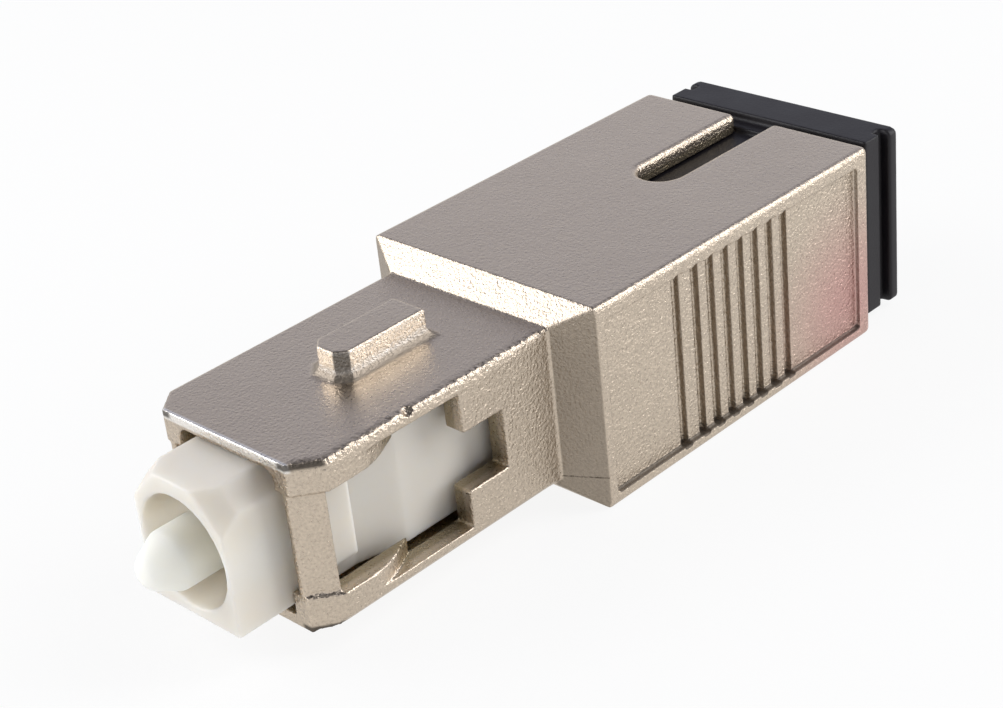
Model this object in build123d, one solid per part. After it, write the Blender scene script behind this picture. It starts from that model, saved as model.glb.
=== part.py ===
# Fibre attenuator with a push-pull plug at one end and a receptacle at the other.
# X runs along the optical axis from the plug end to the receptacle end.
# Z is up, on the side of the key. Y is to the left when looking along X.
# Stations along X are counted from the front face of the plug sleeve.
# Heights and widths are counted from the optical axis.
# The last lines move every piece so that the origin is at the middle of the underside.
import os

from build123d import *

os.makedirs("parts", exist_ok=True)

# Standard sizes of the interface
FERRULE_D = 2.5
SLEEVE_W = 9.0
SLEEVE_H = 7.4
FIBRE_D = 0.125
FIBRE_SET_BACK = 0.001

# How far a cut reaches past a face, and how far joined shapes reach into each other
REACH = 1.0
BITE = 0.5
LAP = 0.2

# How near an edge lies to where it is looked for
NEAR = 0.01

# Clearances
GUIDE_GAP = 0.05
SIDE_GAP = 0.10
CATCH_GAP = 0.20
FLOOR_GAP = 0.35
FERRULE_GAP = 0.01
SPLIT_GAP = 0.06
SPRING_GAP = 0.09
HOOK_GAP = 0.30

# How far the core slides in the housing
CORE_TRAVEL = 1.8

# Plug sleeve of the housing
SLEEVE_L = 13.0
CORNER_CUT_Y = 0.96
CORNER_CUT_X = 1.16
FOOT_CHAMFER = 0.45
SLEEVE_EDGE = 0.12

# Bevel between sleeve and body, and the body
BEVEL_L = 1.0
BODY_W = 12.6
BODY_H = 9.3
BODY_L = 18.25
BODY_EDGE = 0.25
BODY_REAR_EDGE = 0.3

# Key on the plug sleeve
KEY_START = 5.4
KEY_L = 4.55
KEY_W = 1.8
KEY_H = 1.2
KEY_CUT = 0.45
KEY_FOOT = 0.5
KEY_EDGE = 0.06

# Cavity of the plug sleeve and its mouth, which is wider where the latch hooks pass
SLEEVE_WALL = 1.0
ROOF_T = 0.5
FLOOR_T = 0.5
MOUTH_W = 5.45
MOUTH_CORNER = 0.5
HOOK_WAY_W = 6.25

# Side window with its cams and teeth
PILLAR_L = 1.15
PILLAR_SET_BACK = 0.16
RAIL_TOP = 0.6
RAIL_BOTTOM = 0.8
WINDOW_END = 7.95
NOTCH_L = 2.22
NOTCH_TOP = 1.4
NOTCH_BOTTOM = 1.25
CAM_H = 0.75
CAM_FLAT_END = 2.6
CAM_KNEE = 3.55
CAM_KNEE_DROP = 0.15
CAM_END = 5.25
CAM_SLOPE = 0.5

# Cavity of the body
PORT_W = 9.2
PORT_ROOF = 0.9
PORT_SET_BACK = 0.1

# Slot for the mating key
SLOT_L = 7.75
SLOT_W = 2.16
SLOT_MOUTH_R = 0.3

# Side panels with grip grooves
PANEL_RIM_FRONT = 0.45
PANEL_RIM_REAR = 0.85
PANEL_RIM_TOP = 0.75
PANEL_RIM_BOTTOM = 0.55
PANEL_DEPTH = 0.22
PANEL_CORNER = 0.2
GROOVE_FROM_BODY = 5.0
GROOVE_STEP_1 = 1.25
GROOVE_PITCH = 1.0
GROOVE_COUNT = 8
GROOVE_W = 0.47
GROOVE_DEPTH = 0.55
GROOVE_OVERRUN = 0.08

# Plug frame
NOSE_OUT = 2.6
NOSE_W = 5.3
NOSE_BEVEL = 0.9
LEAD_BEVEL = 1.6
LEAD_L = 0.9
NOSE_BORE_R = 2.42
NOSE_BORE_END = 2.1
SEAT_FACE = 2.9
SEAT_HOLE_GAP = 0.2
SHOULDER_START = 0.6
SHOULDER_RAMP = 0.8
SHOULDER_END = 3.2
CATCH_FLOOR_W = 5.2
CATCH_END = 5.6
BLOCK_SET_IN = 0.35
BLOCK_BEVEL = 0.7
FRAME_STEP_BACK = 0.4
FRAME_TAIL_W = 5.6
FRAME_TAIL_H = 5.0
SOCKET_DEPTH = 1.05

# Ferrules and the barrel that joins them
TIP = 4.55
CONE_L = 1.27
CONE_END_R = 0.575
TIP_ROUND = 0.49
FERRULE_L = 10.5
FERRULE_EDGE = 0.2
TIP_FROM_FLOOR = 1.5
FLANGE_R = 2.1
FLANGE_L = 1.3
FLANGE_FLATS = 3.7
BARREL_WALL = 0.4
BARREL_GRIP = 4.0
BARREL_CORE_R = 0.5

# Spring and its seat
SPRING_WIRE = 0.3
SPRING_TURNS = 6
SPRING_SIDES = 6
SEAT_RING_BACK = 2.6
SEAT_RING_L = 1.0
SEAT_GROW = 0.02

# Split sleeve
SPLIT_L = 11.4
SPLIT_WALL = 0.34
SPLIT_SLOT = 0.4

# Sleeve holder
HOLDER_BACK_L = 4.65
COLLAR_L = 2.6
COLLAR_WALL = 0.45
TUBE_WALL = 0.64
TUBE_LIP = 0.4
TUBE_LIP_GAP = 0.13
NOSE_POCKET_W = 5.9
CATCH_BUMP_BACK = 2.8
CATCH_BUMP_L = 1.55
CATCH_BUMP_H = 2.6
CATCH_BUMP_OUT = 0.45

# Latch hooks of the sleeve holder
HOOK_INNER = 2.76
HOOK_T = 0.32
HOOK_H = 2.4
HOOK_STRAIGHT_L = 4.0
HOOK_JOG_L = 0.6
HOOK_OUT_T = 0.5
TOOTH_REACH = 6.15
TOOTH_L = 1.0
TOOTH_INNER = 2.72
WING_REACH = 1.75
WING_L = 1.1
WING_H = 5.4

# Dust cap
CAP_GAP = 0.1
CAP_WALL = 0.4
CAP_FROM_COLLAR = 1.5
CAP_LAP_SIDE = 0.3
CAP_LAP_TOP = 0.2
CAP_COLLAR_L = 0.75
CAP_BLOCK_L = 1.1
CAP_NECK_L = 0.5
CAP_RIM_L = 0.6
CAP_SIDE_STEP = 0.7
CAP_TOP_STEP = 0.3
CAP_NECK_CUT = 0.4
CAP_RIM_GROW = 0.2
CAP_ROOF = 1.0
CAP_CORNER = 0.3

# Stations and sizes of the housing that follow from those above
BODY_START = SLEEVE_L + BEVEL_L
BODY_END = BODY_START + BODY_L
BORE_W = SLEEVE_W - 2 * SLEEVE_WALL
BORE_TOP = SLEEVE_H / 2 - ROOF_T
BORE_BOTTOM = SLEEVE_H / 2 - FLOOR_T
WINDOW_TOP = SLEEVE_H / 2 - RAIL_TOP
WINDOW_BOTTOM = SLEEVE_H / 2 - RAIL_BOTTOM
WAY_TOP = WINDOW_TOP - CAM_H
WAY_BOTTOM = WINDOW_BOTTOM - CAM_H
NOTCH_END = WINDOW_END + NOTCH_L
PORT_START = BODY_START + PORT_SET_BACK
PORT_H = BODY_H - 2 * PORT_ROOF
SLOT_START = BODY_END - SLOT_L
PANEL_START = BODY_START + PANEL_RIM_FRONT
PANEL_END = BODY_END - PANEL_RIM_REAR
PANEL_TOP = BODY_H / 2 - PANEL_RIM_TOP
PANEL_BOTTOM = BODY_H / 2 - PANEL_RIM_BOTTOM

# Stations and sizes of the sleeve holder
HOLDER_START = PORT_START + CORE_TRAVEL + GUIDE_GAP
HOLDER_FLOOR = HOLDER_START + HOLDER_BACK_L
HOLDER_COLLAR_END = HOLDER_FLOOR + COLLAR_L
HOLDER_W = PORT_W - 2 * GUIDE_GAP
HOLDER_H = PORT_H - 2 * GUIDE_GAP
CATCH_BUMP_START = HOLDER_START + CATCH_BUMP_BACK
CATCH_BUMP_END = CATCH_BUMP_START + CATCH_BUMP_L

# Stations and sizes of the ferrules and of the split sleeve around them
FERRULE_R = FERRULE_D / 2
FERRULE_END = FERRULE_L - TIP
REAR_TIP = HOLDER_FLOOR - TIP_FROM_FLOOR
REAR_START = REAR_TIP - FERRULE_L
BARREL_END = REAR_START + BARREL_GRIP
BARREL_R = FERRULE_R + BARREL_WALL
FLANGE_END = SEAT_FACE + FLANGE_L
SPLIT_R = FERRULE_R + FERRULE_GAP + SPLIT_WALL
SPLIT_START = REAR_TIP - SPLIT_L / 2
SPLIT_END = SPLIT_START + SPLIT_L
SPLIT_POCKET_R = SPLIT_R + SPLIT_GAP
TUBE_R = SPLIT_POCKET_R + TUBE_WALL
TUBE_END = SPLIT_END + SIDE_GAP + TUBE_LIP
TUBE_LIP_R = FERRULE_R + TUBE_LIP_GAP

# Stations and sizes of the plug frame and of the spring in it
NOSE_TOP = BORE_TOP - SIDE_GAP
NOSE_BOTTOM = BORE_BOTTOM - FLOOR_GAP
SHOULDER_W = HOOK_WAY_W - 2 * GUIDE_GAP
BLOCK_W = BORE_W - 2 * BLOCK_SET_IN
FRAME_STEP = SLEEVE_L - FRAME_STEP_BACK
FRAME_TAIL_END = HOLDER_START + SOCKET_DEPTH
SEAT_HOLE_R = FERRULE_R + SEAT_HOLE_GAP
CHAMBER_R = FLANGE_R + SIDE_GAP
SPRING_R = CHAMBER_R - SPRING_GAP - SPRING_WIRE / 2
SEAT_RING_START = FRAME_STEP - SEAT_RING_BACK
SEAT_RING_END = SEAT_RING_START + SEAT_RING_L

# Stations and sizes of the dust cap
CAP_SKIRT_START = HOLDER_COLLAR_END + CAP_FROM_COLLAR
CAP_SKIRT_W = PORT_W - 2 * CAP_GAP
CAP_SKIRT_H = PORT_H - 2 * CAP_GAP
CAP_INNER_W = CAP_SKIRT_W - 2 * CAP_WALL
CAP_INNER_H = CAP_SKIRT_H - 2 * CAP_WALL
CAP_COLLAR_W = PORT_W + 2 * CAP_LAP_SIDE
CAP_COLLAR_H = PORT_H + 2 * CAP_LAP_TOP
CAP_BLOCK_W = BODY_W - 2 * CAP_SIDE_STEP
CAP_BLOCK_H = BODY_H - 2 * CAP_TOP_STEP
CAP_BLOCK_START = BODY_END + CAP_COLLAR_L
CAP_BLOCK_END = CAP_BLOCK_START + CAP_BLOCK_L
CAP_RIM_START = CAP_BLOCK_END + CAP_NECK_L
CAP_END = CAP_RIM_START + CAP_RIM_L

# Where the latch hooks stand
HOOK_JOG_START = HOLDER_FLOOR + HOOK_STRAIGHT_L
HOOK_JOG_END = HOOK_JOG_START + HOOK_JOG_L
HOOK_OUT = CAP_INNER_W / 2 - HOOK_GAP - HOOK_OUT_T
TOOTH_START = HOLDER_FLOOR + TOOTH_REACH
WING_START = TOOTH_START + WING_REACH

# Where the whole part stands
MIDDLE_X = (CAP_END - TIP) / 2
AXIS_HEIGHT = BODY_H / 2


def block(x0, x1, y0, y1, z0, z1):
    """A box between two corners."""
    size = (x1 - x0, y1 - y0, z1 - z0)
    middle = ((x0 + x1) / 2, (y0 + y1) / 2, (z0 + z1) / 2)
    return Pos(*middle) * Box(*size)


def centred(x0, x1, width, height):
    """A box that is centred on the optical axis."""
    return block(x0, x1, -width / 2, width / 2, -height / 2, height / 2)


def rod(x0, x1, radius):
    """A cylinder on the optical axis."""
    return Pos((x0 + x1) / 2, 0, 0) * Rot(0, 90, 0) * Cylinder(radius, x1 - x0)


def plan(points, z0, z1):
    """A flat outline in X and Y, raised from z0 to z1."""
    return extrude(Pos(0, 0, z0) * make_face(Polyline(*points, close=True)), z1 - z0)


def section(points, x0, x1):
    """A cross-section in Y and Z, drawn out from x0 to x1."""
    outline = Polyline(*[(x0, y, z) for y, z in points], close=True)
    return extrude(make_face(outline), x1 - x0, dir=(1, 0, 0))


def both_sides(shape):
    """The shape and its mirror image on the other side of the axis."""
    return shape + mirror(shape, Plane.XZ)


def edges_along(shape, axis):
    """The straight edges of a shape that lie along an axis."""
    return shape.edges().filter_by(axis)


def corner_cut():
    """What the facet takes off the left front corner of the sleeve."""
    y = SLEEVE_W / 2
    slope = CORNER_CUT_Y / CORNER_CUT_X
    points = [
        (-REACH, y - CORNER_CUT_Y - slope * REACH),
        (CORNER_CUT_X + REACH, y + slope * REACH),
        (-REACH, y + slope * REACH),
    ]
    return plan(points, -SLEEVE_H, SLEEVE_H)


def key():
    """The key with its two cut front corners and a fillet at its foot."""
    top = SLEEVE_H / 2 + KEY_H
    half = KEY_W / 2
    outline = [
        (KEY_START + KEY_CUT, -half),
        (KEY_START + KEY_L, -half),
        (KEY_START + KEY_L, half),
        (KEY_START + KEY_CUT, half),
        (KEY_START, half - KEY_CUT),
        (KEY_START, -half + KEY_CUT),
    ]
    shape = plan(outline, SLEEVE_H / 2 - BITE, top)
    return fillet(shape.edges().group_by(Axis.Z)[-1], KEY_EDGE)


def housing_outside():
    """Sleeve, bevel and body as one solid with the key."""
    sleeve = centred(0, SLEEVE_L, SLEEVE_W, SLEEVE_H)
    low = sleeve.edges().filter_by(Axis.X).group_by(Axis.Z)[0]
    sleeve = chamfer(low, FOOT_CHAMFER)
    sleeve = fillet(sleeve.edges().filter_by(Axis.X).group_by(Axis.Z)[-1], SLEEVE_EDGE)
    sleeve = sleeve - both_sides(corner_cut())
    small = Plane.YZ.offset(SLEEVE_L) * Rectangle(SLEEVE_W, SLEEVE_H)
    large = Plane.YZ.offset(BODY_START) * Rectangle(BODY_W, BODY_H)
    bevel = loft([small, large])
    body = centred(BODY_START, BODY_END, BODY_W, BODY_H)
    body = bevel + body
    long_edges = edges_along(body, Axis.X)
    body = fillet(long_edges, BODY_EDGE)
    rear = body.faces().sort_by(Axis.X)[-1]
    upright = [e for e in rear.edges() if abs(e.center().Y) > BODY_W / 2 - BODY_EDGE / 2]
    body = fillet(upright, BODY_REAR_EDGE)
    shape = sleeve + body
    with_key = shape + key()
    foot = [
        e
        for e in with_key.edges()
        if abs(e.center().Z - SLEEVE_H / 2) < NEAR
        and KEY_START - NEAR < e.center().X < KEY_START + KEY_L + NEAR
        and abs(e.center().Y) < KEY_W / 2 + NEAR
    ]
    return fillet(foot, KEY_FOOT)


def side_window():
    """The opening in the left wall, which leaves a pillar and two cams."""
    outside = SLEEVE_W / 2 + REACH
    inside = BORE_W / 2 - BITE
    opening = block(PILLAR_L, WINDOW_END, inside, outside, -WINDOW_BOTTOM, WINDOW_TOP)
    notch = block(WINDOW_END - REACH, NOTCH_END, inside, outside, -NOTCH_BOTTOM, NOTCH_TOP)
    return opening + notch


def cam(z0, z1):
    """A cam in the left window. Its back curves inward so that it can lift a latch hook."""
    outer = SLEEVE_W / 2
    inner = BORE_W / 2 + GUIDE_GAP
    back = Spline(
        (CAM_FLAT_END, outer),
        (CAM_KNEE, outer - CAM_KNEE_DROP),
        (CAM_END, inner),
        tangents=[(1, 0), (1, -CAM_SLOPE)],
    )
    start = PILLAR_L - LAP
    rest = Polyline((CAM_END, inner), (start, inner), (start, outer), (CAM_FLAT_END, outer))
    face = make_face(back + rest)
    shape = extrude(Pos(0, 0, z0) * face, z1 - z0)
    return shape - corner_cut()


def pillar_relief():
    """What is taken off the corner facet so that the pillar sits a little behind the cams."""
    y_front = SLEEVE_W / 2 - CORNER_CUT_Y - PILLAR_SET_BACK
    slope = CORNER_CUT_Y / CORNER_CUT_X
    points = [
        (-REACH, y_front - slope * REACH),
        (PILLAR_L, y_front + slope * PILLAR_L),
        (PILLAR_L, SLEEVE_W),
        (-REACH, SLEEVE_W),
    ]
    return plan(points, -WAY_BOTTOM, WAY_TOP)


def grip_panel():
    """The shallow panel on the left side with its grooves cut deeper."""
    face_y = BODY_W / 2
    panel = block(PANEL_START, PANEL_END, face_y - PANEL_DEPTH, face_y + REACH, -PANEL_BOTTOM, PANEL_TOP)
    panel = fillet(edges_along(panel, Axis.Y), PANEL_CORNER)
    grooves = []
    for i in range(GROOVE_COUNT):
        x = BODY_START + GROOVE_FROM_BODY
        if i > 0:
            x = x + GROOVE_STEP_1 + (i - 1) * GROOVE_PITCH
        grooves.append(
            block(
                x - GROOVE_W / 2,
                x + GROOVE_W / 2,
                face_y - GROOVE_DEPTH,
                face_y + REACH,
                -PANEL_BOTTOM - GROOVE_OVERRUN,
                PANEL_TOP + GROOVE_OVERRUN,
            )
        )
    for groove in grooves:
        panel = panel + groove
    return panel


def key_slot():
    """The slot in the top of the body, round at its front and flared at the rear face."""
    half = SLOT_W / 2
    z0 = PORT_H / 2 - BITE
    z1 = BODY_H / 2 + REACH
    straight = block(SLOT_START + half, BODY_END + REACH, -half, half, z0, z1)
    round_end = Pos(SLOT_START + half, 0, (z0 + z1) / 2) * Cylinder(half, z1 - z0)
    return straight + round_end


def catch_pocket():
    """The pocket in the left wall of the body, in which the catch of the sleeve holder slides."""
    half = CATCH_BUMP_H / 2 + CATCH_GAP
    return block(
        CATCH_BUMP_START - CORE_TRAVEL - SIDE_GAP,
        CATCH_BUMP_END + SIDE_GAP,
        PORT_W / 2 - BITE,
        HOLDER_W / 2 + CATCH_BUMP_OUT + CATCH_GAP,
        -half,
        half,
    )


def mouth():
    """The opening in the front face, with a wider way on both sides for the latch hooks."""
    opening = block(-REACH, PILLAR_L + BITE, -MOUTH_W / 2, MOUTH_W / 2, -BORE_BOTTOM, BORE_TOP)
    upper = edges_along(opening, Axis.X).group_by(Axis.Z)[-1]
    opening = fillet(upper, MOUTH_CORNER)
    way = block(-REACH, PILLAR_L + BITE, -HOOK_WAY_W / 2, HOOK_WAY_W / 2, -WAY_BOTTOM, WAY_TOP)
    return opening + way


def housing():
    """Die-cast housing."""
    shape = housing_outside()
    shape = shape - mouth()
    shape = shape - block(PILLAR_L, PORT_START + BITE, -BORE_W / 2, BORE_W / 2, -BORE_BOTTOM, BORE_TOP)
    shape = shape - centred(PORT_START, BODY_END + REACH, PORT_W, PORT_H)
    shape = shape - both_sides(side_window())
    shape = shape - both_sides(pillar_relief())
    upper = cam(WAY_TOP, WINDOW_TOP + LAP)
    lower = cam(-WINDOW_BOTTOM - LAP, -WAY_BOTTOM)
    shape = shape + both_sides(upper) + both_sides(lower)
    shape = shape - both_sides(grip_panel())
    shape = shape - key_slot()
    shape = shape - both_sides(catch_pocket())
    slot_mouth = [
        e
        for e in shape.edges().filter_by(Axis.Z)
        if abs(e.center().X - BODY_END) < NEAR and abs(abs(e.center().Y) - SLOT_W / 2) < NEAR
    ]
    return fillet(slot_mouth, SLOT_MOUTH_R)


def nose_outline(bevel):
    """Cross-section of the plug frame with a bevel on its two upper corners."""
    half = NOSE_W / 2
    top = NOSE_TOP
    return [
        (-half, -NOSE_BOTTOM),
        (half, -NOSE_BOTTOM),
        (half, top - bevel),
        (half - bevel, top),
        (-half + bevel, top),
        (-half, top - bevel),
    ]


def nose():
    """The bar of the plug frame, with wider bevels at its front that guide it into an adapter."""
    lead_end = -NOSE_OUT + LEAD_L
    faces = []
    for x, bevel in ((-NOSE_OUT, LEAD_BEVEL), (lead_end, NOSE_BEVEL)):
        outline = Polyline(*[(x, y, z) for y, z in nose_outline(bevel)], close=True)
        faces.append(make_face(outline))
    lead = loft(faces, ruled=True)
    return lead + section(nose_outline(NOSE_BEVEL), lead_end, FRAME_STEP)


def shoulder():
    """The shoulder on the left side, behind which a latch hook catches."""
    inner = NOSE_W / 2 - LAP
    outer = SHOULDER_W / 2
    points = [
        (SHOULDER_START, inner),
        (SHOULDER_START, NOSE_W / 2),
        (SHOULDER_START + SHOULDER_RAMP, outer),
        (SHOULDER_END, outer),
        (SHOULDER_END, inner),
    ]
    return plan(points, -WAY_BOTTOM + SIDE_GAP, WAY_TOP - SIDE_GAP)


def guide_block():
    """The ramp behind the catch and the wider block that ends it, on the left side."""
    inner = CATCH_FLOOR_W / 2 - LAP
    points = [
        (SHOULDER_END, inner),
        (SHOULDER_END, CATCH_FLOOR_W / 2),
        (CATCH_END, BLOCK_W / 2),
        (FRAME_STEP, BLOCK_W / 2),
        (FRAME_STEP, inner),
    ]
    return plan(points, -NOSE_BOTTOM, NOSE_TOP - BLOCK_BEVEL)


def plug_frame():
    """Moulded plug frame."""
    catch = block(SHOULDER_END, CATCH_END, CATCH_FLOOR_W / 2, NOSE_W, -NOSE_TOP - REACH, NOSE_TOP + REACH)
    shape = nose() - both_sides(catch)
    shape = shape + both_sides(shoulder()) + both_sides(guide_block())
    shape = shape + centred(FRAME_STEP - BITE, FRAME_TAIL_END, FRAME_TAIL_W, FRAME_TAIL_H)
    shape = shape - rod(-NOSE_OUT - REACH, NOSE_BORE_END, NOSE_BORE_R)
    shape = shape - rod(NOSE_BORE_END - BITE, SEAT_FACE + BITE, SEAT_HOLE_R)
    shape = shape - rod(SEAT_FACE, SEAT_RING_END, CHAMBER_R)
    shape = shape - rod(SEAT_RING_START, FRAME_TAIL_END + REACH, TUBE_R + SEAT_GROW)
    return shape


def front_ferrule():
    """Ferrule with a conical tip that is rounded at its end."""
    points = [
        (-TIP, 0),
        (-TIP, CONE_END_R),
        (-TIP + CONE_L, FERRULE_R),
        (FERRULE_END, FERRULE_R),
        (FERRULE_END, 0),
    ]
    half = make_face(Polyline(*[(x, r, 0) for x, r in points], close=True))
    shape = revolve(half, Axis.X)
    tip_edge = shape.edges().filter_by(GeomType.CIRCLE).sort_by(Axis.X)[0]
    shape = fillet(tip_edge, TIP_ROUND)
    return shape - rod(-TIP - REACH, FERRULE_END + REACH, FIBRE_D / 2)


def rear_ferrule():
    """Ferrule in the receptacle with a small chamfer on its end."""
    shape = rod(REAR_START, REAR_TIP, FERRULE_R)
    tip_edge = shape.edges().filter_by(GeomType.CIRCLE).sort_by(Axis.X)[-1]
    shape = chamfer(tip_edge, FERRULE_EDGE)
    return shape - rod(REAR_START - REACH, REAR_TIP + REACH, FIBRE_D / 2)


def ferrule_barrel():
    """Barrel with a flange that has four flats and holds both ferrules."""
    flange = rod(SEAT_FACE, FLANGE_END, FLANGE_R)
    flange = flange & centred(SEAT_FACE - REACH, FLANGE_END + REACH, FLANGE_FLATS, FLANGE_FLATS)
    shape = flange + rod(SEAT_FACE, BARREL_END, BARREL_R)
    shape = shape - rod(SEAT_FACE - REACH, FERRULE_END, FERRULE_R)
    shape = shape - rod(FERRULE_END - BITE, REAR_START + BITE, BARREL_CORE_R)
    return shape - rod(REAR_START, BARREL_END + REACH, FERRULE_R)


def attenuating_fibre():
    """The length of fibre that runs through both ferrules."""
    return rod(-TIP + FIBRE_SET_BACK, REAR_TIP - FIBRE_SET_BACK, FIBRE_D / 2)


def ferrule_spring():
    """Compression spring between the flange and its seat."""
    start = FLANGE_END + SPRING_WIRE / 2
    length = SEAT_RING_START - FLANGE_END - SPRING_WIRE
    path = Helix(length / SPRING_TURNS, length, SPRING_R, center=(start, 0, 0), direction=(1, 0, 0))
    wire = Plane(path @ 0, z_dir=path % 0) * RegularPolygon(SPRING_WIRE / 2, SPRING_SIDES)
    return sweep(wire, path)


def spring_seat():
    """Ring pressed into the plug frame behind the spring."""
    shape = rod(SEAT_RING_START, SEAT_RING_END, TUBE_R + SEAT_GROW)
    return shape - rod(SEAT_RING_START - REACH, SEAT_RING_END + REACH, BARREL_R + SIDE_GAP)


def split_sleeve():
    """Alignment sleeve with a slot along its whole length."""
    bore = rod(SPLIT_START - REACH, SPLIT_END + REACH, FERRULE_R + FERRULE_GAP)
    shape = rod(SPLIT_START, SPLIT_END, SPLIT_R) - bore
    half = SPLIT_SLOT / 2
    slot = block(SPLIT_START - REACH, SPLIT_END + REACH, -half, half, 0, SPLIT_R + REACH)
    return shape - slot


def latch_hook():
    """The left hook: a thin arm, a jog outward, a tooth and two wings for the cams."""
    inner = HOOK_INNER
    outer = HOOK_INNER + HOOK_T
    far = HOOK_OUT + HOOK_OUT_T
    tip = WING_START + WING_L
    tooth_end = TOOTH_START + TOOTH_L
    arm = plan(
        [
            (HOLDER_FLOOR - LAP, inner),
            (HOOK_JOG_START, inner),
            (HOOK_JOG_END, HOOK_OUT),
            (TOOTH_START, HOOK_OUT),
            (TOOTH_START, TOOTH_INNER),
            (TOOTH_START + TOOTH_L / 3, TOOTH_INNER),
            (tooth_end, HOOK_OUT),
            (tip, HOOK_OUT),
            (tip, far),
            (HOOK_JOG_END, far),
            (HOOK_JOG_START, outer),
            (HOLDER_FLOOR - LAP, outer),
        ],
        -HOOK_H / 2,
        HOOK_H / 2,
    )
    wings = block(WING_START, tip, HOOK_OUT, far, -WING_H / 2, WING_H / 2)
    return arm + wings


def sleeve_holder():
    """Moulded holder with the tube for the split sleeve and two latch hooks."""
    shape = centred(HOLDER_START, HOLDER_COLLAR_END, HOLDER_W, HOLDER_H)
    pocket_h = HOLDER_H - 2 * COLLAR_WALL
    shape = shape - centred(HOLDER_FLOOR, HOLDER_COLLAR_END + REACH, NOSE_POCKET_W, pocket_h)
    half = HOOK_H / 2 + HOOK_GAP
    slot = block(HOLDER_FLOOR, HOLDER_COLLAR_END + REACH, -PORT_W, PORT_W, -half, half)
    shape = shape - slot
    socket = centred(HOLDER_START - REACH, FRAME_TAIL_END, FRAME_TAIL_W, FRAME_TAIL_H)
    shape = shape - socket
    shape = shape + rod(SPLIT_START - TUBE_LIP, TUBE_END, TUBE_R)
    shape = shape - rod(SPLIT_START, SPLIT_END + SIDE_GAP, SPLIT_POCKET_R)
    shape = shape - rod(SPLIT_START - REACH, TUBE_END + REACH, TUBE_LIP_R)
    shape = shape - rod(SPLIT_START - REACH, SPLIT_START + BITE, SPLIT_POCKET_R)
    shape = shape + both_sides(latch_hook())
    out = HOLDER_W / 2
    bump = plan(
        [
            (CATCH_BUMP_START, out - LAP),
            (CATCH_BUMP_START, out),
            (CATCH_BUMP_START + CATCH_BUMP_OUT, out + CATCH_BUMP_OUT),
            (CATCH_BUMP_END, out + CATCH_BUMP_OUT),
            (CATCH_BUMP_END, out - LAP),
        ],
        -CATCH_BUMP_H / 2,
        CATCH_BUMP_H / 2,
    )
    return shape + both_sides(bump)


def dust_cap():
    """Moulded cap with a hollow skirt, a collar, a block and a rim."""
    shape = centred(CAP_SKIRT_START, CAP_BLOCK_START + LAP, CAP_SKIRT_W, CAP_SKIRT_H)
    shape = fillet(edges_along(shape, Axis.X), CAP_CORNER)
    shape = shape + centred(BODY_END + GUIDE_GAP, CAP_BLOCK_START + LAP, CAP_COLLAR_W, CAP_COLLAR_H)
    rim = centred(CAP_RIM_START, CAP_END, CAP_BLOCK_W + 2 * CAP_RIM_GROW, CAP_BLOCK_H)
    rim = fillet(edges_along(rim, Axis.X), CAP_CORNER)
    neck_side = block(
        CAP_BLOCK_END,
        CAP_RIM_START + REACH,
        CAP_BLOCK_W / 2 - CAP_NECK_CUT,
        CAP_BLOCK_W,
        -CAP_BLOCK_H,
        CAP_BLOCK_H,
    )
    head = centred(CAP_BLOCK_START, CAP_RIM_START + LAP, CAP_BLOCK_W, CAP_BLOCK_H) - both_sides(neck_side)
    shape = shape + head + rim
    return shape - centred(CAP_SKIRT_START - REACH, CAP_END - CAP_ROOF, CAP_INNER_W, CAP_INNER_H)


def save(shape, name):
    """Move a piece to the shared origin and write it."""
    moved = Pos(-MIDDLE_X, 0, AXIS_HEIGHT) * shape
    export_step(moved, "parts/" + name + ".step")


save(housing(), "housing")
save(plug_frame(), "plug_frame")
save(front_ferrule(), "front_ferrule")
save(rear_ferrule(), "rear_ferrule")
save(ferrule_barrel(), "ferrule_barrel")
save(attenuating_fibre(), "attenuating_fibre")
save(ferrule_spring(), "ferrule_spring")
save(spring_seat(), "spring_seat")
save(split_sleeve(), "split_sleeve")
save(sleeve_holder(), "sleeve_holder")
save(dust_cap(), "dust_cap")
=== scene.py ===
# %% [markdown]
# # Dressing a fibre attenuator for its picture
# The solids of this little part are already drawn to size, from the white nose at one end to the
# black cap at the other. This lesson gives them soft edges, real finishes, light and a camera.
# All lengths are in metres and in the same frame as the solids, so nothing is moved to fit.

# %% Load the solids
import math

import bmesh
import bpy
import numpy as np
from mathutils import Matrix, Vector


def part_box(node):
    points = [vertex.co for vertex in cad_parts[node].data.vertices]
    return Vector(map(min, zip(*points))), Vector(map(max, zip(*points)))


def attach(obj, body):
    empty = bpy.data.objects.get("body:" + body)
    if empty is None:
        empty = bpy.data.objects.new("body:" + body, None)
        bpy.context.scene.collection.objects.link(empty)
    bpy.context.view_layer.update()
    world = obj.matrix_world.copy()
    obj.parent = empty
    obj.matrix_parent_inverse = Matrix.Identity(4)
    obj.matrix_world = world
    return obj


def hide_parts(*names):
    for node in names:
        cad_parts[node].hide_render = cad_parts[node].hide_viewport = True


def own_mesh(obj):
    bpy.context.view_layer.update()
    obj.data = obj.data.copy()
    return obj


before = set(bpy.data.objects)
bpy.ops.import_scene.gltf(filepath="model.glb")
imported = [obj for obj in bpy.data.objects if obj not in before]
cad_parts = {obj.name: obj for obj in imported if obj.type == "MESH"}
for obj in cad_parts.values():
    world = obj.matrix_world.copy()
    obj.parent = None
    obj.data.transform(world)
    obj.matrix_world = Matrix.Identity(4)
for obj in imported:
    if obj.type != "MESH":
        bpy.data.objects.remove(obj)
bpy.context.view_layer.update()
MM = 0.001
print("solids:", sorted(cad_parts))

# %% [markdown]
# ## The camera
# A long lens from a short way off keeps a small part free of strong perspective. The place, the
# aim and the lens were fitted to the corners of the part in the photograph. The sleeve was given
# as 9.0 by 7.4 mm, and the sizes of the body came out of the same fit. The camera was held a
# little crooked, so it is also turned about its own axis.

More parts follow.
